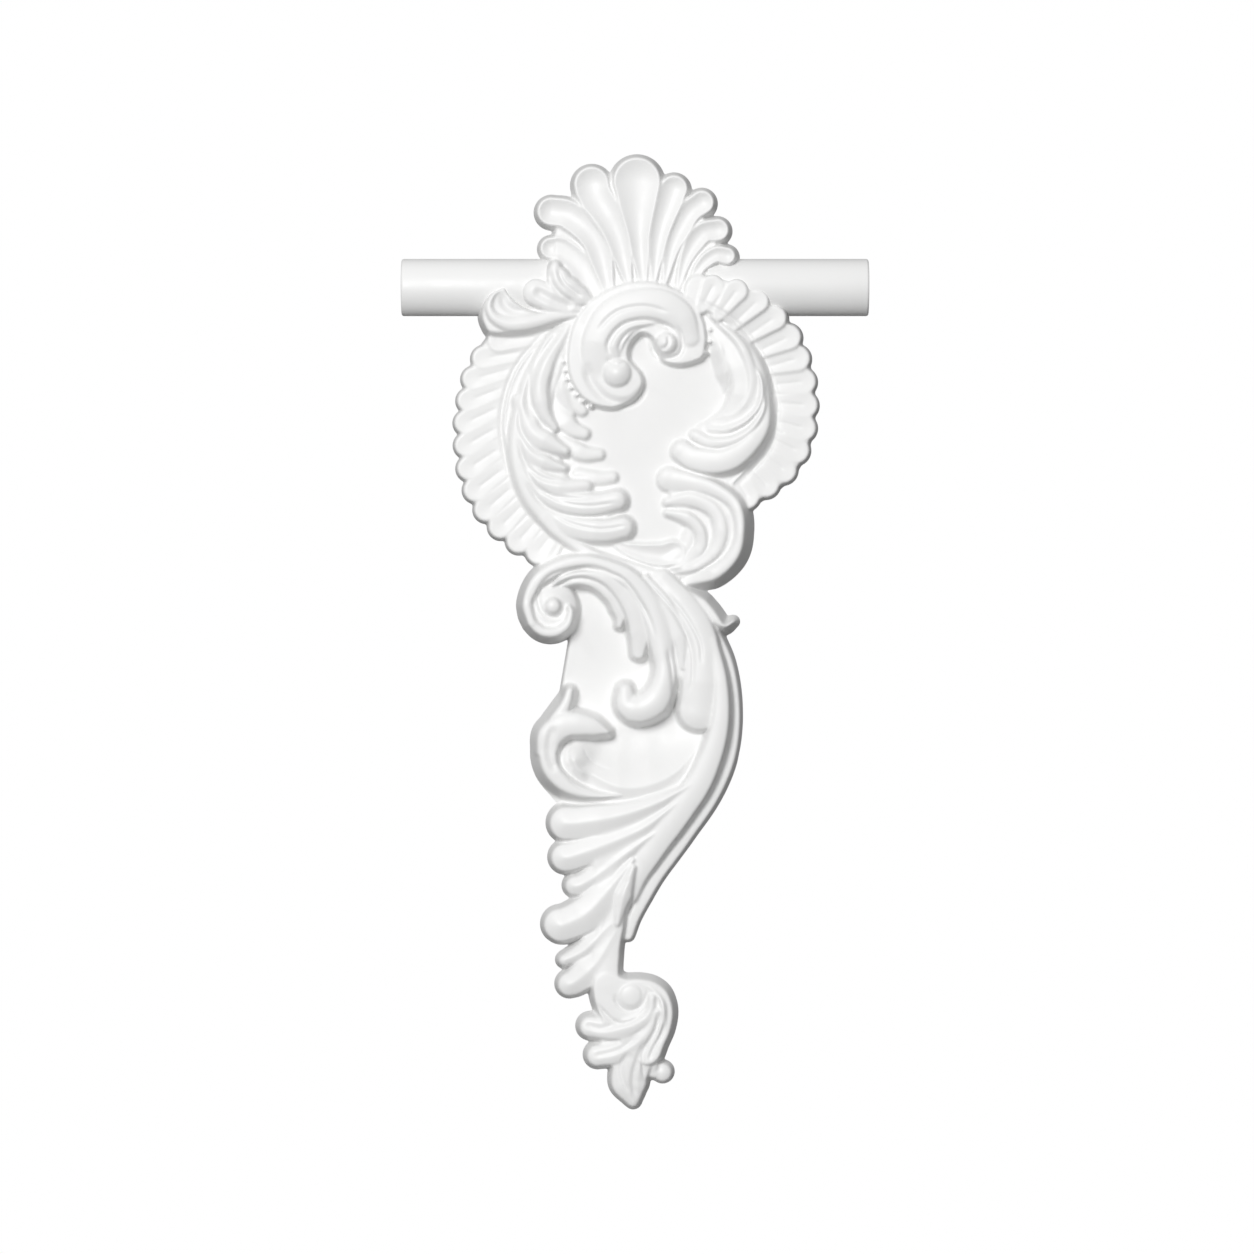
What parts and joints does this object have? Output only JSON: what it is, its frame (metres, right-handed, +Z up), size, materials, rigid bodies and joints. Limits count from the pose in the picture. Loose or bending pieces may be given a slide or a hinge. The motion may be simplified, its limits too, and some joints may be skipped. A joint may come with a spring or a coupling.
{
  "type": "scroll applique",
  "caption": "Cast rococo wall ornament with a shell, a fluted oval, acanthus scrolls and a tapering leafy tail, on a length of half-round rail.",
  "frame": {"origin": "on the flat back, on the axis of the half-round rail, halfway between its two ends", "axes": "+X along the rail to the right seen from the front, +Z up, +Y into the wall; the relief stands towards -Y"},
  "size_m": [0.245, 0.023, 0.5002],
  "materials": {
    "painted_casting": "white primed, satin"
  },
  "bodies": {
    "root": {"scroll_applique": "painted_casting"}
  },
  "joints": []
}
